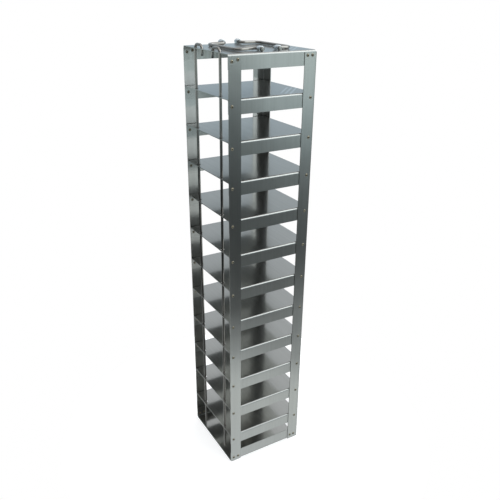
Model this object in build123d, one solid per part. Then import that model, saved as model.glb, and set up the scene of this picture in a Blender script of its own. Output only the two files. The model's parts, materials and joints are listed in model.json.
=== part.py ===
from build123d import *

import math
import os

# Vertical freezer rack for cryo boxes, in millimetres. The origin is under the middle of the
# base, +Z is up and the open front faces -Y. Twelve compartments lie one above the other, between
# a top channel, eleven shelf channels and a bottom tray, all folded from one gauge of stainless
# sheet. Two flat front posts and two angled rear posts are riveted to their turned sides. Two wire
# rods hang in holes along the open front and lock the boxes in, and two wire bails hinged on
# forged eyes lie on the top plate and are the carrying handle.

# Rack
rack_width = 140.0
rack_depth = 140.0
shelf_pitch = 57.15
compartments = 12

# Sheet and folds
sheet = 1.0
fold_radius = 1.5
angle_radius = 1.0
corner_radius = 2.0
shelf_side = 20.5
tray_side = 21.0

# Posts
post_width = 19.1
rear_leg = 20.5
post_corner = 1.5
post_top_gap = 0.2

# Rivets: centres from the post's outer edge, and below or above the channel they hold
front_rivet_edge = 5.1
front_pair_edge = 13.9
rear_rivet_edge = 7.8
rear_pair_edge = 15.8
front_rivet_drop = 9.3
front_pair_drop = 7.3
rear_rivet_drop = 6.8
tray_rivet_rise = 7.9
rivet_shank = 3.2
rivet_hole_gap = 0.05
rivet_head = 4.6
rivet_crown = 0.9
rivet_rim = 0.3
rivet_crown_face = 2.8
rivet_dimple = 1.7
rivet_dimple_depth = 0.6
rivet_tail = 4.4
rivet_tail_height = 0.7

# Locking rods
rod_diameter = 4.0
rod_hole = 6.0
rod_spread = 76.0
rod_setback = 4.6
rod_foot_rise = 9.8
rod_foot_chamfer = 0.5
hook_span = 21.8
hook_radius = 7.0
hook_seat_gap = 0.2
hook_tip_depth = 10.0

# Bail handles
bail_wire = 4.2
bail_inset = 26.6
bail_reach = 29.4
bail_corner = 8.0
bail_axle_bend = 5.0
bail_axle_run = 3.9
bail_rest_gap = 0.2
bail_head = 5.8
bail_head_length = 2.0
bail_head_chamfer = 0.4
pivot_spread = 27.6
pivot_height = 3.2

# Hinge eyes of the bails
eye_thickness = 7.5
eye_outer = 8.0
eye_bore_gap = 0.1
eye_side_gap = 1.0
eye_shank = 5.0
eye_shank_gap = 0.05
eye_tail = 7.0
eye_tail_height = 1.0

# Places worked out from the sizes above
rack_height = compartments * shelf_pitch + sheet
channel_width = rack_width - 2 * sheet
# The channels stop where the rear angles' inside bend begins
channel_depth = rack_depth - sheet - angle_radius
front = -rack_depth / 2
back = rack_depth / 2
fold_outer = fold_radius + sheet
post_height = rack_height - fold_outer - post_top_gap
flange_face = channel_width / 2
outer_face = rack_width / 2
rod_x = rod_spread / 2
rod_y = front + rod_setback
hook_tip_x = rod_x - hook_span
arm_x = outer_face - bail_inset
pivot_y = pivot_spread / 2
eye_x = arm_x + bail_axle_bend + bail_axle_run + eye_thickness / 2
axle_end_x = eye_x + eye_thickness / 2 + eye_side_gap

ends = {"front": -1, "rear": 1}
sides = {"left": -1, "right": 1}
rivet_edge = {"front": front_rivet_edge, "rear": rear_rivet_edge}
pair_edge = {"front": front_pair_edge, "rear": rear_pair_edge}
rivet_drop = {"front": front_rivet_drop, "rear": rear_rivet_drop}
pair_drop = {"front": front_pair_drop, "rear": rear_rivet_drop}
eye_places = {
    f"{end}_{side}": (x * eye_x, y * pivot_y) for side, x in sides.items() for end, y in ends.items()
}


def level(number):
    """Height of a level's upper face: 0 is the top channel, the last one the tray's floor."""
    return rack_height - number * shelf_pitch


# Folded channels


def channel(side_height):
    """A sheet folded down along both sides, upper face at Z = 0, from the front edge back."""
    skin = Pos(0, -side_height / 2) * Rectangle(channel_width, side_height)
    skin = fillet(skin.vertices().group_by(Axis.Y)[-1], fold_outer)
    hollow_height = side_height - sheet
    hollow = Pos(0, -sheet - hollow_height / 2) * Rectangle(channel_width - 2 * sheet, hollow_height)
    hollow = fillet(hollow.vertices().group_by(Axis.Y)[-1], fold_radius)
    section = Pos(0, front, 0) * (Plane.XZ * (skin - hollow))
    body = extrude(section, -channel_depth)
    corners = body.edges().filter_by(Axis.X).group_by(Axis.Z)[0]
    return fillet(corners, corner_radius)


def plate_drill(x, y, diameter):
    """A round cutter down through the plate of a channel."""
    return Pos(x, y, -sheet / 2) * Cylinder(diameter / 2, 3 * sheet)


def side_drill(y, z, side=1):
    """A round cutter along X for one rivet hole, through a post and the turned side behind it."""
    cutter = Rot(0, 90, 0) * Cylinder(rivet_shank / 2 + rivet_hole_gap, 6 * sheet)
    return Pos(side * flange_face, y, z) * cutter


def rivet_row(number, end):
    """One post's rivets at one level, as distances (from the post's outer edge, from the floor)."""
    single = (rivet_edge[end], level(number) - rivet_drop[end])
    if number == 0:
        return [single, (pair_edge[end], level(0) - pair_drop[end])]
    if number == compartments:
        return [(edge[end], tray_rivet_rise) for edge in (rivet_edge, pair_edge)]
    return [single]


def row_places(number, end):
    """Rivet centres (y, z) of one post at one level."""
    return [(ends[end] * (back - edge), z) for edge, z in rivet_row(number, end)]


def level_places(number):
    """Rivet centres (y, z) at one level, both ends of the rack."""
    return [place for end in ends for place in row_places(number, end)]


def post_places(end):
    """Rivet centres (y, z) of one post, all the way down."""
    return [place for number in range(compartments + 1) for place in row_places(number, end)]


def drill_sides(body, number):
    """Cut the rivet holes of both turned sides of a channel that lies at its level."""
    return body - [side_drill(y, z, side) for side in sides.values() for y, z in level_places(number)]


def shelf(number):
    """One shelf channel, guiding the two rods at its front edge."""
    body = channel(shelf_side) - [plate_drill(x, rod_y, rod_hole) for x in (-rod_x, rod_x)]
    return drill_sides(Pos(0, 0, level(number)) * body, number)


def top_channel():
    """The top plate: a shelf with more holes, for the tips of the hooks and the hinge eyes."""
    body = channel(shelf_side)
    body -= [plate_drill(x, rod_y, rod_hole) for x in (-rod_x, rod_x, -hook_tip_x, hook_tip_x)]
    body -= [plate_drill(x, y, eye_shank + 2 * eye_shank_gap) for x, y in eye_places.values()]
    return drill_sides(Pos(0, 0, level(0)) * body, 0)


def bottom_tray():
    """The tray at the foot: its sides are turned up and its floor is what the rack stands on."""
    return drill_sides(Rot(0, 180, 0) * channel(tray_side), compartments)


# Corner posts


def front_post():
    """Flat strip on the +X side, flush with the shelves' front, up to the top channel's fold."""
    blank = Pos(front + post_width / 2, post_height / 2) * Rectangle(post_width, post_height)
    blank = fillet(blank.vertices(), post_corner)
    return drill_post(extrude(Pos(flange_face, 0, 0) * (Plane.YZ * blank), sheet), "front")


def angle_corner(inset, radius):
    """A filled angle section with its rounded corner set in from the rack's rear right corner."""
    block = Rectangle(rear_leg, rear_leg, align=(Align.MAX, Align.MAX))
    block = Pos(outer_face - inset, back - inset) * block
    corner = block.vertices().sort_by_distance((outer_face, back, 0))[0]
    return fillet(corner, radius)


def rear_post():
    """Angle with one leg on the +X side and the other across the back."""
    section = angle_corner(0, angle_radius + sheet) - angle_corner(sheet, angle_radius)
    return drill_post(extrude(section, post_height), "rear")


def drill_post(body, end):
    """Cut a post's rivet holes."""
    return body - [side_drill(y, z) for y, z in post_places(end)]


# Rivets


def rivet():
    """Tubular rivet along X: dimpled crown outside, clinched tail inside, its grip from X = 0."""
    grip = 2 * sheet
    crown = grip + rivet_crown
    half_section = Polyline(
        (0, -rivet_tail_height),
        (rivet_shank / 2, -rivet_tail_height),
        (rivet_tail / 2, 0),
        (rivet_shank / 2, 0),
        (rivet_shank / 2, grip),
        (rivet_head / 2, grip),
        (rivet_head / 2, grip + rivet_rim),
        (rivet_crown_face / 2, crown),
        (rivet_dimple / 2, crown),
        (rivet_dimple / 2, crown - rivet_dimple_depth),
        (0, crown - rivet_dimple_depth),
        close=True,
    )
    return Rot(0, 90, 0) * revolve(make_face(Plane.XZ * half_section), Axis.Z)


def post_rivets(end):
    """All the rivets of the post on the +X side."""
    grip_start = flange_face - sheet
    return [Pos(grip_start, y, z) * rivet() for y, z in post_places(end)]


# Locking rods


def hook_seat():
    """How far below the top plate a hook's bends begin when they hang on the edges of the holes."""
    inside = hook_radius - rod_diameter / 2
    reach = hook_radius - rod_hole / 2
    return math.sqrt(inside**2 - reach**2) - hook_seat_gap


def lock_rod():
    """Rod on the +X side: straight from its foot to the top, hooked over to a second hole."""
    bend_start = level(0) - hook_seat()
    crest = bend_start + hook_radius
    foot = level(compartments) + rod_foot_rise
    tip = level(0) - hook_tip_depth
    corners = [(rod_x, foot), (rod_x, crest), (hook_tip_x, crest), (hook_tip_x, tip)]
    path = Plane.XZ.offset(-rod_y) * FilletPolyline(*corners, radius=hook_radius)
    section = Plane(path @ 0, z_dir=path % 0) * Circle(rod_diameter / 2)
    rod = sweep(section, path=path)
    foot_edge = rod.edges().group_by(Axis.Z)[0]
    return chamfer(foot_edge, rod_foot_chamfer)


# Handle


def bail_lie():
    """Angle by which a bail slopes down from its eyes to lie just clear of the top plate."""
    return math.degrees(math.asin((pivot_height - bail_wire / 2 - bail_rest_gap) / bail_reach))


def rear_bail():
    """Wire bail of the rear pair of eyes, lying flat towards the back of the top plate."""
    corners = [
        (-axle_end_x, 0),
        (-arm_x, 0),
        (-arm_x, bail_reach),
        (arm_x, bail_reach),
        (arm_x, 0),
        (axle_end_x, 0),
    ]
    radii = [bail_axle_bend, bail_corner, bail_corner, bail_axle_bend]
    path = FilletPolyline(*corners, radius=radii)
    section = Plane(path @ 0, z_dir=path % 0) * Circle(bail_wire / 2)
    wire = sweep(section, path=path)
    head = Rot(0, 90, 0) * Cylinder(bail_head / 2, bail_head_length)
    head = chamfer(head.edges().filter_by(GeomType.CIRCLE), bail_head_chamfer)
    head_x = axle_end_x + bail_head_length / 2
    wire = wire + Pos(head_x, 0, 0) * head + Pos(-head_x, 0, 0) * head
    return Pos(0, pivot_y, level(0) + pivot_height) * Rot(-bail_lie(), 0, 0) * wire


def hinge_eye():
    """Forged eye standing on the top plate, its shank clinched below; bore along X at the origin."""
    ring = Circle(eye_outer / 2)
    base = Pos(0, -pivot_height / 2) * Rectangle(eye_outer, pivot_height)
    below = Pos(0, -pivot_height - eye_outer / 2) * Rectangle(2 * eye_outer, eye_outer)
    profile = ring + base - below - Circle(bail_wire / 2 + eye_bore_gap)
    eye = extrude(Plane.YZ * profile, eye_thickness / 2, both=True)
    shank_length = sheet + eye_tail_height
    shank = Pos(0, 0, -pivot_height - shank_length / 2) * Cylinder(eye_shank / 2, shank_length)
    tail = Cylinder(eye_tail / 2, eye_tail_height)
    tail = chamfer(tail.edges().group_by(Axis.Z)[0], eye_tail_height / 2)
    tail_z = -pivot_height - sheet - eye_tail_height / 2
    return eye + shank + Pos(0, 0, tail_z) * tail


def left_of(body):
    """The matching piece of the -X side."""
    return mirror(body, about=Plane.YZ)


def front_of(body):
    """The matching piece of the front."""
    return mirror(body, about=Plane.XZ)


def make_parts():
    """Every node of the rack by its name."""
    parts = {"top_channel": top_channel(), "bottom_tray": bottom_tray()}
    for number in range(1, compartments):
        parts[f"shelf_{number:02d}"] = shelf(number)
    for end, post in (("front", front_post()), ("rear", rear_post())):
        parts[f"{end}_right_post"] = post
        parts[f"{end}_left_post"] = left_of(post)
        rivets = post_rivets(end)
        parts[f"{end}_right_rivets"] = Compound(children=rivets)
        parts[f"{end}_left_rivets"] = Compound(children=[left_of(one) for one in rivets])
    parts["lock_rod_right"] = lock_rod()
    parts["lock_rod_left"] = left_of(lock_rod())
    parts["rear_bail"] = rear_bail()
    parts["front_bail"] = front_of(rear_bail())
    eye = hinge_eye()
    for name, (x, y) in eye_places.items():
        parts[f"{name}_eye"] = Pos(x, y, level(0) + pivot_height) * eye
    return parts


os.makedirs("parts", exist_ok=True)
for name, part in make_parts().items():
    export_step(part, f"parts/{name}.step")
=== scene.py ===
import json
import math

import bpy
import numpy as np
from mathutils import Matrix, Vector


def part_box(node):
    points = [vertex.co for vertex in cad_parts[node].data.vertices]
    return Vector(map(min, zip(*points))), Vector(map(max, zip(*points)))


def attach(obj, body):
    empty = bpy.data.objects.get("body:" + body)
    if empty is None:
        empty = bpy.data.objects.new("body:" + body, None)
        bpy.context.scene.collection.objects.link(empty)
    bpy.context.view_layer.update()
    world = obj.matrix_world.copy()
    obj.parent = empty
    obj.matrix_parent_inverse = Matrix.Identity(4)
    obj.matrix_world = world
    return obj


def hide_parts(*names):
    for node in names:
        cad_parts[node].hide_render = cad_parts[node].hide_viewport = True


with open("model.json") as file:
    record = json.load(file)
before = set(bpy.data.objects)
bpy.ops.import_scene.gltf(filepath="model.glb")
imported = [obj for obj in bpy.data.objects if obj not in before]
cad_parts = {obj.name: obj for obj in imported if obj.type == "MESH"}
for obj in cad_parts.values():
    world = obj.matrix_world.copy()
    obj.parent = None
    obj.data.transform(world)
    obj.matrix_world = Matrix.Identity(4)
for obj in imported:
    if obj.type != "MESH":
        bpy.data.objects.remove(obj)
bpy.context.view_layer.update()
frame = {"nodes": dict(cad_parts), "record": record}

# A vertical freezer rack in stainless steel. The sheet-metal channels and posts are the frame's own
# nodes with brushed and polished finishes. The wires, hinge eyes and rivets are finer surfaces made
# here over the nodes that they stand for. Lengths are in metres, +Z is up and the open front faces -Y.

# Sizes of the rack, as in its construction
HALF_WIDTH = 0.070
SHEET = 0.001
RACK_TOP = 0.6868
PITCH = 0.05715
LEVELS = 12

# Locking rods
ROD_RADIUS = 0.002
ROD_X = 0.038
ROD_Y = -0.0654
HOOK_SPAN = 0.0218
HOOK_RADIUS = 0.007
HOOK_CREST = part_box("lock_rod_right")[1].z - ROD_RADIUS
HOOK_TIP = RACK_TOP - 0.010
ROD_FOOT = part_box("lock_rod_right")[0].z
ROD_END_ROUND = 0.0005

# Points round a wire, and along the quarter circle that rounds off its end or the edge of an eye
WIRE_TURNS = 28
END_STEPS = 5

# Bail handles
BAIL_RADIUS = 0.0021
ARM_X = 0.0434
BAIL_REACH = 0.0294
BAIL_CORNER = 0.008
AXLE_BEND = 0.005
AXLE_END = 0.0608
HEAD_RADIUS = 0.0029
HEAD_LENGTH = 0.002
HEAD_EDGE = 0.0005
HEAD_LAP = 0.0002
HEAD_TURNS = 32
BAIL_END_ROUND = 0.0002
PIVOT_Y = 0.0138
PIVOT_Z = RACK_TOP + 0.0032
BAIL_GAP = 0.0002
BAIL_LIE = math.asin((PIVOT_Z - RACK_TOP - BAIL_RADIUS - BAIL_GAP) / BAIL_REACH)

# Hinge eyes
EYE_RADIUS = 0.004
EYE_THICKNESS = 0.0075
EYE_X = 0.05605
EYE_BORE = BAIL_RADIUS + 0.0001
EYE_ROUND = 0.0006
EYE_STEP = 5.0
BORE_FLARE = 1.12
BORE_EDGE = 0.0003
EYE_TAIL = 0.0035
EYE_TAIL_DROP = 0.001
EYE_TAIL_SLOPE = 0.0008
EYE_TAIL_RIM = 0.0003
EYE_TAIL_LAP = 0.0001

# Rivets
RIVET_SHANK = 0.0016
RIVET_HEAD = 0.0023
RIVET_CROWN = 0.0009
RIVET_DIMPLE = 0.00085
RIVET_DIMPLE_DEPTH = 0.0006
# Reach of the painted shade in the dimple of each rivet's crown
RIVET_SHADE_REACH = RIVET_DIMPLE + 0.0001
RIVET_DIMPLE_LIP = 0.0002
RIVET_DIMPLE_SLOPE = 0.00008
RIVET_DIMPLE_BEND = 0.0001
RIVET_DIMPLE_ROUND = 0.00025
RIVET_HEAD_ROUND = 0.00045
RIVET_HEAD_TURN = 38
RIVET_LIP = [(0.00165, 0.00072), (0.0013, 0.00086), (0.00108, RIVET_CROWN), (0.00095, 0.00086)]
RIVET_TAIL = 0.0022
RIVET_TAIL_DROP = 0.0007
RIVET_TAIL_HOLLOW = 0.0003
RIVET_TAIL_EDGE = 0.0003
RIVET_TURNS = 24

# How far the rivets lie in from the side's ends, and down from the top plate and from each shelf
RIVET_EDGE = {"front": 0.0051, "rear": 0.0078}
RIVET_PAIR_EDGE = {"front": 0.0139, "rear": 0.0158}
RIVET_DROP = {"front": 0.0093, "rear": 0.0068}
RIVET_PAIR_DROP = {"front": 0.0073, "rear": 0.0068}
TRAY_RIVET_RISE = 0.0079

# Sign of each end along Y, and of each side along X
ENDS = {"front": -1.0, "rear": 1.0}
SIDES = {"left": -1.0, "right": 1.0}


# Surfaces


def grid_faces(rows, columns, close_rows=False, close_columns=False):
    """Quads between neighbours of a rows x columns grid of points, wrapping round where it is closed."""
    i = np.arange(rows if close_rows else rows - 1)
    j = np.arange(columns if close_columns else columns - 1)
    i, j = np.meshgrid(i, j, indexing="ij")
    down = (i + 1) % rows
    right = (j + 1) % columns
    corners = [i * columns + j, down * columns + j, down * columns + right, i * columns + right]
    return np.stack([c.ravel() for c in corners], axis=1)


def fan_faces(ring, pole):
    """Triangles from a closed ring of point numbers to one pole."""
    return np.stack([ring, np.roll(ring, -1), np.full(len(ring), pole)], axis=1)


def joined(shells):
    """Several (points, quads, triangles) surfaces as one, each with its numbers moved along."""
    points, quads, triangles, start = [], [], [], 0
    for shell_points, shell_quads, shell_triangles in shells:
        points.append(shell_points)
        quads.append(shell_quads + start)
        triangles.append(shell_triangles + start)
        start += len(shell_points)
    return np.concatenate(points), np.concatenate(quads), np.concatenate(triangles)


def lathe(profile, turns):
    """A profile of (radius, height) turned about Z; its first and last points lie on the axis.

    Point (i, j) is (r_i cos a_j, r_i sin a_j, h_i) with a_j = 2 pi j / turns; both poles are closed."""
    profile = np.asarray(profile, float)
    angle = np.arange(turns) * 2 * math.pi / turns
    radius, height = profile[1:-1, 0], profile[1:-1, 1]
    ring = np.stack(
        [
            radius[:, None] * np.cos(angle),
            radius[:, None] * np.sin(angle),
            np.broadcast_to(height[:, None], (len(radius), turns)),
        ],
        axis=-1,
    ).reshape(-1, 3)
    poles = np.array([[0, 0, profile[0, 1]], [0, 0, profile[-1, 1]]])
    quads = grid_faces(len(radius), turns, close_columns=True)[:, ::-1]
    first, last = len(ring), len(ring) + 1
    start = fan_faces(np.arange(turns)[::-1], first)
    end = fan_faces(np.arange(turns) + (len(radius) - 1) * turns, last)
    return np.concatenate([ring, poles]), quads, np.concatenate([start, end])


def arc(centre, radius, start, end, steps):
    """Points on a circle in the plane from angle start to angle end, in degrees, both included."""
    angle = np.radians(np.linspace(start, end, steps))
    return np.stack([centre[0] + radius * np.cos(angle), centre[1] + radius * np.sin(angle)], axis=1)


def rounded_path(corners, radii, bend_steps, run_step):
    """A polyline with its inner corners turned into arcs tangent to both runs.

    A corner with turn t and radius r is replaced by the arc that starts r tan(t / 2) before it; the
    runs between the arcs are divided evenly."""
    corners = [np.asarray(c, float) for c in corners]
    pieces = [corners[0][None, :]]
    for before, at, after, radius in zip(corners, corners[1:], corners[2:], radii):
        into = (at - before) / np.linalg.norm(at - before)
        out = (after - at) / np.linalg.norm(after - at)
        turn = math.acos(float(np.clip(into @ out, -1, 1)))
        start = at - into * radius * math.tan(turn / 2)
        normal = out - into * (into @ out)
        normal /= np.linalg.norm(normal)
        centre = start + normal * radius
        angle = np.linspace(0, turn, bend_steps)[:, None]
        pieces.append(centre - normal * radius * np.cos(angle) + into * radius * np.sin(angle))
    pieces.append(corners[-1][None, :])
    path = [pieces[0]]
    for before, after in zip(pieces, pieces[1:]):
        length = np.linalg.norm(after[0] - before[-1])
        count = max(1, round(length / run_step))
        share = (np.arange(1, count) / count)[:, None]
        path.append(before[-1] * (1 - share) + after[0] * share)
        path.append(after)
    return np.concatenate(path)


def wire(path, radius, across, end_round):
    """A round wire along a flat path, with its ends rounded off.

    Point (i, j) is p_i + r_i (cos a_j n_i + sin a_j b), where b is the normal of the path's plane, n_i
    lies in that plane across the path, and r_i shrinks on a quarter circle at each end. The middle of
    each end is a pole that closes it."""
    along = np.gradient(path, axis=0)
    along /= np.linalg.norm(along, axis=1)[:, None]
    side = np.cross(across, along)
    quarter = np.linspace(0, math.pi / 2, END_STEPS)
    inset = end_round * (1 - np.cos(quarter))[:, None]
    swell = radius - end_round * (1 - np.sin(quarter))
    start = path[0] + along[0] * inset
    end = (path[-1] - along[-1] * inset)[::-1]
    centres = np.concatenate([start, path[1:-1], end])
    radii = np.concatenate([swell, np.full(len(path) - 2, radius), swell[::-1]])
    first, last = (np.repeat(end_side, END_STEPS, axis=0) for end_side in (side[:1], side[-1:]))
    sides = np.concatenate([first, side[1:-1], last])
    angle = np.arange(WIRE_TURNS) * 2 * math.pi / WIRE_TURNS
    around = np.cos(angle)[None, :, None] * sides[:, None, :] + np.sin(angle)[None, :, None] * across
    rings = centres[:, None, :] + radii[:, None, None] * around
    points = np.concatenate([rings.reshape(-1, 3), path[:1], path[-1:]])
    rows = len(centres)
    poles = rows * WIRE_TURNS
    ring = np.arange(WIRE_TURNS)
    quads = grid_faces(rows, WIRE_TURNS, close_columns=True)
    start_cap = fan_faces(ring, poles)
    end_cap = fan_faces(ring[::-1] + poles - WIRE_TURNS, poles + 1)
    return points, quads, np.concatenate([start_cap, end_cap])


def turned(points, angle, axis):
    """Points turned by an angle in radians about a coordinate axis through the origin."""
    return points @ np.array(Matrix.Rotation(angle, 3, axis)).T


def mirrored(shell, axis):
    """The mirror image of a surface, its faces wound the other way so that they still point out."""
    points, quads, triangles = shell
    flipped = points.copy()
    flipped[:, axis] *= -1
    return flipped, quads[:, ::-1], triangles[:, ::-1]


def moved(shell, offset):
    """A surface shifted by an offset."""
    points, quads, triangles = shell
    return points + np.asarray(offset, float), quads, triangles


def make_piece(name, shell, body, node, material):
    """A smooth-shaded piece that rides on a body and stands for one node of the frame."""
    points, quads, triangles = shell
    mesh = bpy.data.meshes.new(name)
    mesh.from_pydata(points.tolist(), [], quads.tolist() + triangles.tolist())
    mesh.polygons.foreach_set("use_smooth", np.ones(len(mesh.polygons), bool))
    mesh.materials.append(material)
    mesh.update()
    piece = bpy.data.objects.new(name, mesh)
    bpy.context.scene.collection.objects.link(piece)
    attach(piece, body)
    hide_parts(node)
    return piece


# Shader values


class Value:
    """A socket that stands for its value in an expression: each operator adds its Math node."""

    def __init__(self, finish, socket):
        self.finish = finish
        self.socket = socket

    def __add__(self, other):
        return self.finish.maths("ADD", self, other)

    def __radd__(self, other):
        return self.finish.maths("ADD", other, self)

    def __sub__(self, other):
        return self.finish.maths("SUBTRACT", self, other)

    def __rsub__(self, other):
        return self.finish.maths("SUBTRACT", other, self)

    def __mul__(self, other):
        return self.finish.maths("MULTIPLY", self, other)

    def __rmul__(self, other):
        return self.finish.maths("MULTIPLY", other, self)


class Finish:
    """A node tree under construction, a material's or the world's."""

    def __init__(self, name, tree=None):
        if tree is None:
            self.material = bpy.data.materials.new(name)
            self.material.use_nodes = True
            tree = self.material.node_tree
        self.tree = tree
        self.tree.nodes.clear()

    def node(self, kind, settings=None, inputs=None, output=0):
        """Add a node: its settings first, then values or links by socket; gives one output."""
        made = self.tree.nodes.new(kind)
        for key, value in (settings or {}).items():
            if key == "stops":
                ramp = made.color_ramp
                while len(ramp.elements) < len(value):
                    ramp.elements.new(0.5)
                for element, (position, colour) in zip(ramp.elements, value):
                    element.position = position
                    element.color = (*colour, 1.0)
            else:
                setattr(made, key, value)
        for key, value in (inputs or {}).items():
            if isinstance(value, Value):
                self.tree.links.new(value.socket, made.inputs[key])
            else:
                made.inputs[key].default_value = value
        return Value(self, made.outputs[output]) if len(made.outputs) else None

    def maths(self, operation, *values):
        """One Math node on values and numbers."""
        return self.node("ShaderNodeMath", {"operation": operation}, dict(enumerate(values)))

    def ramped(self, value, low, high):
        """A smooth share: 0 where the value is at low, 1 where it is at high."""
        inputs = {"Value": value, "From Min": low, "From Max": high}
        return self.node("ShaderNodeMapRange", {"interpolation_type": "SMOOTHSTEP"}, inputs)

    def within(self, value, rise, fall):
        """A smooth share inside two soft edges, each given as where it is 0 and where it is 1."""
        return self.ramped(value, *rise) * self.ramped(value, *fall)

    def between(self, low, high, share):
        """A colour from low to high, by a share."""
        colour = {"data_type": "RGBA"}
        if not isinstance(low, Value):
            low = (*low, 1.0)
        if not isinstance(high, Value):
            high = (*high, 1.0)
        return self.node("ShaderNodeMix", colour, {0: share, 6: low, 7: high}, output=2)

    def place(self):
        """Object coordinates of the surface."""
        return self.node("ShaderNodeTexCoord", output=3)

    def stretched(self, scale):
        """Object coordinates scaled by axis, so that a pattern runs long where the scale is low."""
        return self.node("ShaderNodeMapping", inputs={"Vector": self.place(), "Scale": scale})

    def parts(self, vector):
        """The three coordinates of a vector."""
        inputs = {"Vector": vector}
        return [self.node("ShaderNodeSeparateXYZ", inputs=inputs, output=axis) for axis in range(3)]

    def noise(self, vector, scale, detail=3.0, roughness=0.5):
        """Noise from 0 to 1 along a vector."""
        inputs = {"Vector": vector, "Scale": scale, "Detail": detail, "Roughness": roughness}
        return self.node("ShaderNodeTexNoise", inputs=inputs)

    def metal(self, colour, roughness, normal):
        """One lobe of metal, a shader that isn't joined to the material yet."""
        inputs = {"Base Color": colour, "Roughness": roughness, "Normal": normal, "Metallic": 1.0}
        return self.node("ShaderNodeBsdfPrincipled", inputs=inputs)

    def steel(self, colour, roughness, normal):
        """The plain metal that wires, eyes and rivets end in."""
        self.node("ShaderNodeOutputMaterial", inputs={"Surface": self.metal(colour, roughness, normal)})
        return self.material

    def hazy_steel(self, colour, clear, haze, share, normal):
        """Two lobes of gloss, a clear one inside a hazy one, as rolled sheet has."""
        lobes = {1: self.metal(colour, haze, normal), 2: self.metal(colour, clear, normal)}
        both = self.node("ShaderNodeMixShader", inputs={0: share, **lobes})
        self.node("ShaderNodeOutputMaterial", inputs={"Surface": both})
        return self.material

    def bump(self, height, distance, strength=1.0):
        """A bump from a height from 0 to 1."""
        inputs = {"Height": height, "Distance": distance, "Strength": strength}
        return self.node("ShaderNodeBump", inputs=inputs)


# Finishes

# Painted light streaks on the two top plates, pale bands laid into their colour: which way they run,
# how far apart they are, where the middle one of the clear patch lies and how long it is, how softly
# the patch ends, and how pale and strong they are
STREAK_AZIMUTH = math.radians(137)
STREAK_SPACING = 0.0068
STREAK_ACROSS = 0.060
STREAK_HALF_LENGTH = 0.034
STREAK_END_FADE = 0.012
STREAK_SIDE_FADE = 0.002
STREAK_LIGHT_TONE = (0.80, 0.83, 0.84)
STREAK_SHARE = 0.7
SCATTERED_SHARE = 0.4


def painted_light_streaks(finish):
    """Share of the painted light streaks: faint slanting pale bands painted on the two top plates.

    With u the distance across the streaks and v along them, the bands cos(2 pi (u - u0) / spacing)
    show in one patch, where |u - u0| and |v| are small, and on the top plate in patches of noise too."""
    place = finish.place()
    x, y, z = finish.parts(place)
    across = x * math.sin(STREAK_AZIMUTH) - y * math.cos(STREAK_AZIMUTH)
    along = x * math.cos(STREAK_AZIMUTH) + y * math.sin(STREAK_AZIMUTH)
    phase = (across - STREAK_ACROSS) * (2 * math.pi / STREAK_SPACING)
    bands = finish.ramped(finish.maths("COSINE", phase), -0.3, 1.0)
    reach = STREAK_SPACING * 1.5
    off_centre = finish.maths("ABSOLUTE", across - STREAK_ACROSS)
    off_middle = finish.maths("ABSOLUTE", along)
    patch = finish.ramped(off_centre, reach, reach - STREAK_SIDE_FADE)
    patch *= finish.ramped(off_middle, STREAK_HALF_LENGTH, STREAK_HALF_LENGTH - STREAK_END_FADE)
    top = finish.ramped(z, RACK_TOP - 0.6 * PITCH, RACK_TOP - 0.4 * PITCH)
    clouds = finish.noise(place, scale=26.0, detail=1.0)
    scattered = finish.ramped(clouds, 0.48, 0.68) * top * SCATTERED_SHARE
    flat = finish.ramped(finish.maths("ABSOLUTE", x), HALF_WIDTH - 0.0008, HALF_WIDTH - 0.003)
    upper = finish.ramped(z, RACK_TOP - 1.5 * PITCH, RACK_TOP - 1.2 * PITCH)
    return bands * finish.maths("MAXIMUM", patch, scattered) * flat * upper


def sheet_finish(name, clear, haze, share, grain_scale, with_painted_streaks=False):
    """Stainless sheet: fine grain lines, a soft drift of tone and gloss, a slight unevenness and, where
    asked, painted light streaks.

    Clear and haze are the roughness of its two lobes of gloss, and share is the weight of the clear
    one. The grain runs long along the axes where its scale is low."""
    finish = Finish(name)
    wide_scale = [scale * WIDE_GRAIN for scale in grain_scale]
    lines = finish.noise(finish.stretched(grain_scale), scale=1.0, roughness=0.6)
    wide_lines = finish.noise(finish.stretched(wide_scale), scale=1.0, detail=2.0)
    broad = finish.noise(finish.place(), scale=9.0, detail=2.0)
    tone = (lines - 0.5) * 1.1 + (wide_lines - 0.5) * 0.7 + (broad - 0.5) * 0.35 + 0.5
    colour = finish.between(*SHEET_TONE, tone)
    if with_painted_streaks:
        # Painted light: pale streaks of light laid over the colour of the two top plates
        colour = finish.between(colour, STREAK_LIGHT_TONE, painted_light_streaks(finish) * STREAK_SHARE)
    gloss = lines * 0.6 + broad * 0.4
    uneven = finish.bump(finish.noise(finish.place(), scale=14.0, detail=1.0), SHEET_WAVE)
    return finish.hazy_steel(colour, clear + gloss * 0.04, haze + gloss * 0.06, share, uneven)


def wire_finish():
    """Electropolished wire: bright, with faint drawing marks and a warm cast."""
    finish = Finish("bright_wire")
    marks = finish.noise(finish.place(), scale=260.0, detail=4.0, roughness=0.6)
    drift = finish.noise(finish.place(), scale=45.0, detail=2.0)
    colour = finish.between((0.26, 0.245, 0.23), (0.46, 0.44, 0.41), marks * 0.4 + drift * 0.6)
    roughness = 0.02 + marks * 0.05
    return finish.steel(colour, roughness, finish.bump(marks, 0.00002, strength=0.4))


def eye_finish():
    """Electropolished forging: bright, softly uneven."""
    finish = Finish("forged_steel")
    uneven = finish.noise(finish.place(), scale=190.0)
    colour = finish.between((0.60, 0.64, 0.66), (0.86, 0.90, 0.93), uneven)
    return finish.steel(colour, 0.16 + uneven * 0.14, finish.bump(uneven, 0.0001, strength=0.4))


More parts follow.
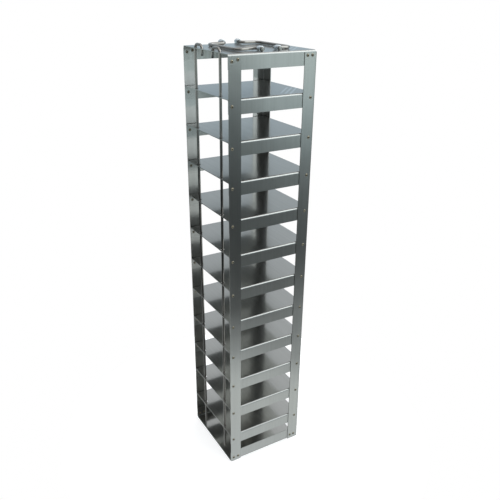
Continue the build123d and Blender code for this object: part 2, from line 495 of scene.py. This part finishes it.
def rivet_finish():
    """Dull brownish rivet steel, with painted shade near black in the dimple of each crown."""
    finish = Finish("rivet_steel")
    hollow = finish.node("ShaderNodeAttribute", {"attribute_name": "hollow"}, output=2)
    grime = finish.noise(finish.place(), scale=600.0, detail=4.0, roughness=0.6)
    skin = finish.between((0.27, 0.23, 0.165), (0.48, 0.43, 0.33), grime)
    # Painted shade: near black in the dimple of each crown
    colour = finish.between(skin, (0.05, 0.042, 0.03), hollow)
    return finish.steel(colour, 0.34 + grime * 0.16, finish.bump(grime, 0.00005, strength=0.5))


# Darkest and lightest tone of the sheet, the wider grain as a share of the fine one's scale, and the
# depth of its unevenness
SHEET_TONE = ((0.42, 0.415, 0.395), (0.51, 0.505, 0.485))
WIDE_GRAIN = 0.28
SHEET_WAVE = 0.0003

shelf_steel = sheet_finish(
    "polished_sheet", clear=0.10, haze=0.29, share=0.56, grain_scale=(7.0, 900.0, 9.0), with_painted_streaks=True
)
post_steel = sheet_finish("satin_sheet", clear=0.08, haze=0.28, share=0.72, grain_scale=(900.0, 900.0, 7.0))
wire_steel = wire_finish()
eye_steel = eye_finish()
rivet_steel = rivet_finish()

SHEET_FINISHES = {"polished_sheet": shelf_steel, "satin_sheet": post_steel}


def dress_sheets():
    """Give every channel and post of the frame its finish."""
    for part in frame["record"]["subparts"]:
        if part["material_slot"] in SHEET_FINISHES:
            sheet = frame["nodes"][part["node"]]
            sheet.data.materials.clear()
            sheet.data.materials.append(SHEET_FINISHES[part["material_slot"]])


# Locking rods


def lock_rod():
    """The right rod: from its foot straight up, over and down into the second hole."""
    tip_x = ROD_X - HOOK_SPAN
    corners = [
        (ROD_X, ROD_Y, ROD_FOOT),
        (ROD_X, ROD_Y, HOOK_CREST),
        (tip_x, ROD_Y, HOOK_CREST),
        (tip_x, ROD_Y, HOOK_TIP),
    ]
    path = rounded_path(corners, [HOOK_RADIUS, HOOK_RADIUS], bend_steps=20, run_step=0.02)
    return wire(path, ROD_RADIUS, np.array([0.0, -1.0, 0.0]), ROD_END_ROUND)


def make_rods():
    """Both rods, each on its own body."""
    right = lock_rod()
    make_piece("rod_right", right, "right_rod", "lock_rod_right", wire_steel)
    make_piece("rod_left", mirrored(right, 0), "left_rod", "lock_rod_left", wire_steel)


# Bails and their eyes


def bail_head():
    """One headed end of a bail along +X, swelling from the wire to a flat-crowned button."""
    crown = 2 * HEAD_EDGE
    profile = [
        (0, -HEAD_LAP),
        (BAIL_RADIUS, -HEAD_LAP),
        *arc((HEAD_RADIUS - HEAD_EDGE, HEAD_EDGE), HEAD_EDGE, -90, 0, 5),
        *arc((HEAD_RADIUS - crown, HEAD_LENGTH - crown), crown, 0, 90, 7),
        (0, HEAD_LENGTH),
    ]
    points, quads, triangles = lathe(profile, HEAD_TURNS)
    return turned(points, math.pi / 2, "Y") + [AXLE_END, 0, 0], quads, triangles


def bail():
    """The rear bail: axle, arm, cross bar, arm and axle in one bent wire, with a head at each end."""
    corners = [
        (-AXLE_END, 0, 0),
        (-ARM_X, 0, 0),
        (-ARM_X, BAIL_REACH, 0),
        (ARM_X, BAIL_REACH, 0),
        (ARM_X, 0, 0),
        (AXLE_END, 0, 0),
    ]
    radii = [AXLE_BEND, BAIL_CORNER, BAIL_CORNER, AXLE_BEND]
    path = rounded_path(corners, radii, bend_steps=16, run_step=0.004)
    bent = wire(path, BAIL_RADIUS, np.array([0.0, 0.0, 1.0]), BAIL_END_ROUND)
    points, quads, triangles = joined([bent, bail_head(), mirrored(bail_head(), 0)])
    return turned(points, -BAIL_LIE, "X") + [0, PIVOT_Y, PIVOT_Z], quads, triangles


def make_bails():
    """Both bails, each on its own body."""
    rear = bail()
    make_piece("bail_rear", rear, "rear_handle", "rear_bail", wire_steel)
    make_piece("bail_front", mirrored(rear, 1), "front_handle", "front_bail", wire_steel)


def hinge_eye():
    """A forged eye about the X axis, on its foot, with its clinched tail under the plate.

    Point (i, j) goes round the eye with angle a_i and through its wall with j. The outer contour is the
    circle R (cos a, sin a) above the axis and runs straight down at y = R and -R to the foot below it;
    the inner one is the bore. The outer edges are rounded on quarter circles, and the bore's flare."""
    around = np.radians(np.arange(0, 360, EYE_STEP) + EYE_STEP / 2)
    half = EYE_THICKNESS / 2
    foot = PIVOT_Z - RACK_TOP
    y, z = np.cos(around), np.sin(around)
    to_side = 1 / np.maximum(np.abs(y), 1e-6)
    to_foot = foot / EYE_RADIUS / np.maximum(-z, 1e-6)
    reach = np.where(z < 0, np.minimum(to_side, to_foot), 1.0)
    outer = np.stack([y * reach * EYE_RADIUS, z * reach * EYE_RADIUS], axis=1)
    outer[:, 1] = np.maximum(outer[:, 1], -foot)
    inner = np.stack([y, z], axis=1) * EYE_BORE
    loops = []
    for step in np.linspace(0, math.pi / 2, END_STEPS):
        scale = 1 - EYE_ROUND * (1 - math.sin(step)) / EYE_RADIUS
        loops.append((outer * scale, half - EYE_ROUND * (1 - math.cos(step))))
    loops = [(loop, -x) for loop, x in loops] + loops[::-1]
    loops += [(inner * BORE_FLARE, half), (inner, half - BORE_EDGE)]
    loops += [(inner, BORE_EDGE - half), (inner * BORE_FLARE, -half)]
    rings = [np.concatenate([np.full((len(around), 1), x), loop], axis=1) for loop, x in loops]
    rings = np.stack(rings, axis=1)
    quads = grid_faces(len(around), len(loops), close_rows=True, close_columns=True)
    ring = (rings.reshape(-1, 3), quads, np.zeros((0, 3), int))
    underside = -foot - SHEET
    tail = [
        (0, underside - EYE_TAIL_DROP),
        (EYE_TAIL - EYE_TAIL_SLOPE, underside - EYE_TAIL_DROP),
        (EYE_TAIL, underside - EYE_TAIL_RIM),
        (EYE_TAIL, underside),
        (0, underside + EYE_TAIL_LAP),
    ]
    return joined([ring, lathe(tail, RIVET_TURNS)])


def make_eyes():
    """The four eyes, fixed on the top plate."""
    eye = hinge_eye()
    for end, y in ENDS.items():
        for side, x in SIDES.items():
            name = f"{end}_{side}_eye"
            placed = moved(eye, (x * EYE_X, y * PIVOT_Y, PIVOT_Z))
            make_piece(f"eye_{end}_{side}", placed, "rack", name, eye_steel)


# Rivets


def rivet():
    """A tubular rivet along X for the right side: domed crown with a dimple, and a clinched tail."""
    inside = -2 * SHEET
    clinch = inside - RIVET_TAIL_DROP
    floor = RIVET_CROWN - RIVET_DIMPLE_DEPTH
    rim = arc((RIVET_HEAD - RIVET_HEAD_ROUND, 0), RIVET_HEAD_ROUND, 0, RIVET_HEAD_TURN, 4)
    profile = [
        (0, clinch + RIVET_TAIL_HOLLOW),
        (RIVET_SHANK * 0.55, clinch + RIVET_TAIL_HOLLOW),
        (RIVET_SHANK * 0.72, clinch),
        (RIVET_TAIL - RIVET_TAIL_EDGE, clinch + RIVET_TAIL_EDGE / 2),
        (RIVET_TAIL, inside),
        (RIVET_SHANK, inside),
        (RIVET_SHANK, 0),
        *rim,
        *RIVET_LIP,
        (RIVET_DIMPLE, RIVET_CROWN - RIVET_DIMPLE_LIP),
        (RIVET_DIMPLE - RIVET_DIMPLE_SLOPE, floor + RIVET_DIMPLE_BEND),
        (RIVET_DIMPLE - RIVET_DIMPLE_ROUND, floor),
        (0, floor),
    ]
    points, quads, triangles = lathe(profile, RIVET_TURNS)
    return turned(points, math.pi / 2, "Y") + [HALF_WIDTH, 0, 0], quads, triangles


def rivet_places(end):
    """Centres (y, z) of one post's rivets: a pair at the top and the foot, one at each shelf."""
    single = [(RIVET_EDGE[end], RACK_TOP - n * PITCH - RIVET_DROP[end]) for n in range(LEVELS)]
    pairs = [
        (RIVET_PAIR_EDGE[end], RACK_TOP - RIVET_PAIR_DROP[end]),
        (RIVET_EDGE[end], TRAY_RIVET_RISE),
        (RIVET_PAIR_EDGE[end], TRAY_RIVET_RISE),
    ]
    return [(ENDS[end] * (HALF_WIDTH - edge), z) for edge, z in single + pairs]


def make_rivets():
    """The rivets of each post as one piece, with the points that get painted shade in the dimple of each
    crown marked.
    """
    one = rivet()
    x = one[0][:, 0]
    off_axis = np.hypot(one[0][:, 1], one[0][:, 2])
    # Points in the dimple of each crown, which get painted shade
    hollow = (off_axis < RIVET_SHADE_REACH) & (x > HALF_WIDTH)
    for end in ENDS:
        places = rivet_places(end)
        right = joined([moved(one, (0, y, z)) for y, z in places])
        for side in SIDES:
            shell = right if side == "right" else mirrored(right, 0)
            node = f"{end}_{side}_rivets"
            piece = make_piece(f"rivets_{end}_{side}", shell, "rack", node, rivet_steel)
            mark = piece.data.attributes.new("hollow", "FLOAT", "POINT")
            mark.data.foreach_set("value", np.tile(hollow, len(places)).astype(np.float32))


# Studio

FRAME_PIXELS = 500
SENSOR = 36.0
FOCAL_PIXELS = 584.502
CENTRE_PIXEL = (246.973, 266.0)
CAMERA_AZIMUTH = math.radians(60.005)
CAMERA_ELEVATION = math.radians(25.630)
CAMERA_ROLL = math.radians(0.378)
CAMERA_DISTANCE = 0.981502
CAMERA_TARGET = Vector((0, 0, 0.341425))


def make_camera():
    """The photograph's view: towards the right front corner from above."""
    data = bpy.data.cameras.new("camera")
    data.sensor_width = SENSOR
    data.lens = FOCAL_PIXELS / FRAME_PIXELS * SENSOR
    data.shift_x = (FRAME_PIXELS / 2 - CENTRE_PIXEL[0]) / FRAME_PIXELS
    data.shift_y = (CENTRE_PIXEL[1] - FRAME_PIXELS / 2) / FRAME_PIXELS
    a, e, r = CAMERA_AZIMUTH, CAMERA_ELEVATION, CAMERA_ROLL
    back = Vector((math.sin(a) * math.cos(e), -math.cos(a) * math.cos(e), math.sin(e)))
    level = Vector((math.cos(a), math.sin(a), 0))
    upright = back.cross(level)
    right = level * math.cos(r) + upright * math.sin(r)
    up = upright * math.cos(r) - level * math.sin(r)
    camera = bpy.data.objects.new("camera", data)
    bpy.context.scene.collection.objects.link(camera)
    turn = Matrix((right, up, back)).transposed().to_4x4()
    camera.matrix_world = Matrix.Translation(CAMERA_TARGET + back * CAMERA_DISTANCE) @ turn
    bpy.context.scene.camera = camera


FLOOR_RADIUS = 0.34
FLOOR_DROP = 0.0002
FLOOR_CORNERS = 96


def make_floor():
    """A plain round table top, pale all over, which shows to the camera alone and in no metal."""
    finish = Finish("pale_floor")
    inputs = {"Base Color": (0.6, 0.6, 0.6, 1.0), "Roughness": 0.9}
    inputs |= {"Emission Color": (1.0, 1.0, 1.0, 1.0), "Emission Strength": 0.5}
    pale = finish.node("ShaderNodeBsdfPrincipled", inputs=inputs)
    clear = finish.node("ShaderNodeBsdfTransparent")
    seen = finish.node("ShaderNodeLightPath", output=0)
    shader = finish.node("ShaderNodeMixShader", inputs={0: seen, 1: clear, 2: pale})
    finish.node("ShaderNodeOutputMaterial", inputs={"Surface": shader})
    angle = np.arange(FLOOR_CORNERS) * 2 * math.pi / FLOOR_CORNERS
    x, y = np.cos(angle) * FLOOR_RADIUS, np.sin(angle) * FLOOR_RADIUS
    rim = np.stack([x, y, np.full(FLOOR_CORNERS, -FLOOR_DROP)], axis=1)
    mesh = bpy.data.meshes.new("floor")
    mesh.from_pydata(rim.tolist(), [], [list(range(FLOOR_CORNERS))])
    mesh.materials.append(finish.material)
    floor = bpy.data.objects.new("floor", mesh)
    bpy.context.scene.collection.objects.link(floor)


OVERHEAD_PLACE = Vector((0.1, -0.1, 1.9))
OVERHEAD_SIZE = 1.4
OVERHEAD_POWER = 26.0


def make_overhead_lamp():
    """A soft square lamp above, aimed at the rack's foot, which shows in no metal."""
    data = bpy.data.lights.new("overhead", "AREA")
    data.shape = "SQUARE"
    data.size = OVERHEAD_SIZE
    data.energy = OVERHEAD_POWER
    lamp = bpy.data.objects.new("overhead", data)
    lamp.location = OVERHEAD_PLACE
    lamp.rotation_euler = (-OVERHEAD_PLACE).to_track_quat("-Z", "Y").to_euler()
    lamp.visible_glossy = False
    bpy.context.scene.collection.objects.link(lamp)


# Light from the room by the sine of the elevation, from straight down to straight up
ROOM = [
    (-1.00, (0.85, 0.92, 0.95)),
    (-0.67, (0.86, 0.93, 0.95)),
    (-0.62, (0.93, 1.00, 1.00)),
    (-0.585, (0.91, 0.99, 1.00)),
    (-0.568, (0.44, 0.48, 0.49)),
    (-0.51, (0.49, 0.54, 0.55)),
    (-0.46, (0.21, 0.235, 0.24)),
    (-0.41, (0.09, 0.10, 0.105)),
    (-0.36, (0.11, 0.125, 0.13)),
    (-0.30, (0.18, 0.21, 0.22)),
    (-0.24, (0.34, 0.42, 0.44)),
    (-0.17, (0.68, 0.83, 0.87)),
    (-0.10, (0.84, 1.00, 1.00)),
    (0.00, (0.64, 0.78, 0.84)),
    (0.09, (0.43, 0.54, 0.62)),
    (0.15, (0.43, 0.54, 0.62)),
    (0.28, (0.50, 0.58, 0.63)),
    (0.43, (0.63, 0.68, 0.72)),
    (0.60, (0.75, 0.79, 0.82)),
    (1.00, (0.95, 0.95, 0.95)),
]

# Azimuth of the big soft lamp on the right of the picture. A side is an azimuth in degrees counted
# from it, and each pair below is where a share is 0 and where it is 1, by side or by the sine of the
# elevation.
LAMP_AZIMUTH = math.radians(60)
LAMP_TONE = (0.99, 1.06, 1.07)
UPPER_LAMP_POWER = 1.7
UPPER_LAMP_HEIGHTS = ((0.32, 0.48), (0.84, 0.72))
UPPER_LAMP_SIDES = ((-34, -20), (45, 20))
LOWER_LAMP_HEIGHTS = ((-0.04, 0.08), (0.5, 0.4))
LOWER_LAMP_SIDES = ((-52, -38), (-4, -12))

# Upright strip of light on the left, its width given by the cosine of the angle from its azimuth
STRIP_AZIMUTH = math.radians(-105)
STRIP_POWER = 1.2
STRIP_WIDTH = (0.955, 0.985)
STRIP_HEIGHTS = ((-0.55, -0.40), (0.5, 0.3))

# Faint light from the camera's side, and from the floor behind
GLOW_SIDE = -90
GLOW_POWER = 0.14
GLOW_WIDTH = (40, 15)
GLOW_HEIGHTS = ((-0.25, -0.10), (0.35, 0.20))
FLOOR_GLOW_POWER = 0.22
FLOOR_GLOW_SIDE = (55, 85)
FLOOR_GLOW_HEIGHT = (-0.30, -0.48)

# Light that is left away from the open sides, which are the right and the back
DIM = 0.26
OPEN_SIDES = ((-72, -52), (165, 125))
OVERHEAD_HEIGHT = (0.55, 0.85)

# Light that is left behind the narrow dark screen that the near post mirrors. Its far edge leans over
# with height, so that the screen is narrow at the horizon and wide below it.
SCREEN_DIM = 0.07
SCREEN_NEAR_EDGE = (-34.8, -32.8)
SCREEN_FULL = -31.6
SCREEN_FAR_EDGE = -23
SCREEN_FAR_HEIGHT = -0.36
SCREEN_LEAN = -20
SCREEN_HEIGHTS = ((-0.56, -0.50), (0.04, -0.20))

# Light that is left in the dark gap below the horizon, which the wires mirror
GAP_DIM = 0.2
GAP_SIDES = ((-12, -4), (70, 45))
GAP_HEIGHT = (0.2, 0.0)


def room_sides(finish, side, height):
    """Share of the room's light by direction: full on the right and behind, dim in front and on the
    left, and all but dark behind the screen and in the gap."""
    is_open = finish.within(side, *OPEN_SIDES)
    dim = (1 - is_open) * (1 - finish.ramped(height, *OVERHEAD_HEIGHT))
    far_edge = (height - SCREEN_FAR_HEIGHT) * SCREEN_LEAN + SCREEN_FAR_EDGE
    screen = finish.within(side, SCREEN_NEAR_EDGE, (far_edge, SCREEN_FULL))
    screen *= finish.within(height, *SCREEN_HEIGHTS)
    gap = finish.within(side, *GAP_SIDES) * finish.ramped(height, *GAP_HEIGHT)
    return (1 - (1 - DIM) * dim) * (1 - (1 - SCREEN_DIM) * screen) * (1 - (1 - GAP_DIM) * gap)


def strip_lamp(finish, east, north, height):
    """Share of the upright strip on the left: full within 10 degrees of its azimuth, gone by 17."""
    facing = east * math.cos(STRIP_AZIMUTH) + north * math.sin(STRIP_AZIMUTH)
    return finish.ramped(facing, *STRIP_WIDTH) * finish.within(height, *STRIP_HEIGHTS)


def camera_glow(finish, side, height):
    """Share of the faint light from the camera's side, near the horizon."""
    from_glow = finish.maths("ABSOLUTE", side - GLOW_SIDE)
    return finish.ramped(from_glow, *GLOW_WIDTH) * finish.within(height, *GLOW_HEIGHTS)


def floor_glow(finish, side, height):
    """Share of the faint light that comes up from the floor behind."""
    return finish.ramped(side, *FLOOR_GLOW_SIDE) * finish.ramped(height, *FLOOR_GLOW_HEIGHT)


def soft_lamp(finish, side, height):
    """Light of the big soft lamp: a bright patch high up, and a narrow one above the horizon beside it."""
    upper = finish.within(height, *UPPER_LAMP_HEIGHTS) * finish.within(side, *UPPER_LAMP_SIDES)
    lower = finish.within(height, *LOWER_LAMP_HEIGHTS) * finish.within(side, *LOWER_LAMP_SIDES)
    return upper * UPPER_LAMP_POWER + lower


def make_room():
    """The room that the rack mirrors: a tone by height, dimmed by side, with the lamps and glows on it.

    The camera itself sees plain white."""
    world = bpy.data.worlds.new("room")
    world.use_nodes = True
    finish = Finish("room", world.node_tree)
    east, north, height = finish.parts(finish.node("ShaderNodeTexCoord", output=0))
    ahead = east * math.cos(LAMP_AZIMUTH) + north * math.sin(LAMP_AZIMUTH)
    beside = north * math.cos(LAMP_AZIMUTH) - east * math.sin(LAMP_AZIMUTH)
    side = finish.maths("ARCTAN2", beside, ahead) * math.degrees(1)
    stops = [((sine + 1) / 2, colour) for sine, colour in ROOM]
    tone = finish.node("ShaderNodeValToRGB", {"stops": stops}, {"Fac": height * 0.5 + 0.5})
    soft_inputs = {"Color": tone, "Strength": room_sides(finish, side, height)}
    soft = finish.node("ShaderNodeBackground", inputs=soft_inputs)
    lamps = soft_lamp(finish, side, height) + strip_lamp(finish, east, north, height) * STRIP_POWER
    lamps += camera_glow(finish, side, height) * GLOW_POWER
    lamps += floor_glow(finish, side, height) * FLOOR_GLOW_POWER
    bright = finish.node("ShaderNodeBackground", inputs={"Color": (*LAMP_TONE, 1), "Strength": lamps})
    lit = finish.node("ShaderNodeAddShader", inputs={0: soft, 1: bright})
    white = finish.node("ShaderNodeBackground", inputs={"Color": (1, 1, 1, 1), "Strength": 1.0})
    seen = finish.node("ShaderNodeLightPath", output=0)
    both = finish.node("ShaderNodeMixShader", inputs={0: seen, 1: lit, 2: white})
    finish.node("ShaderNodeOutputWorld", inputs={"Surface": both})
    bpy.context.scene.world = world


dress_sheets()
make_rods()
make_bails()
make_eyes()
make_rivets()
make_floor()
make_overhead_lamp()
make_room()
make_camera()
bpy.context.scene.view_settings.view_transform = "Standard"
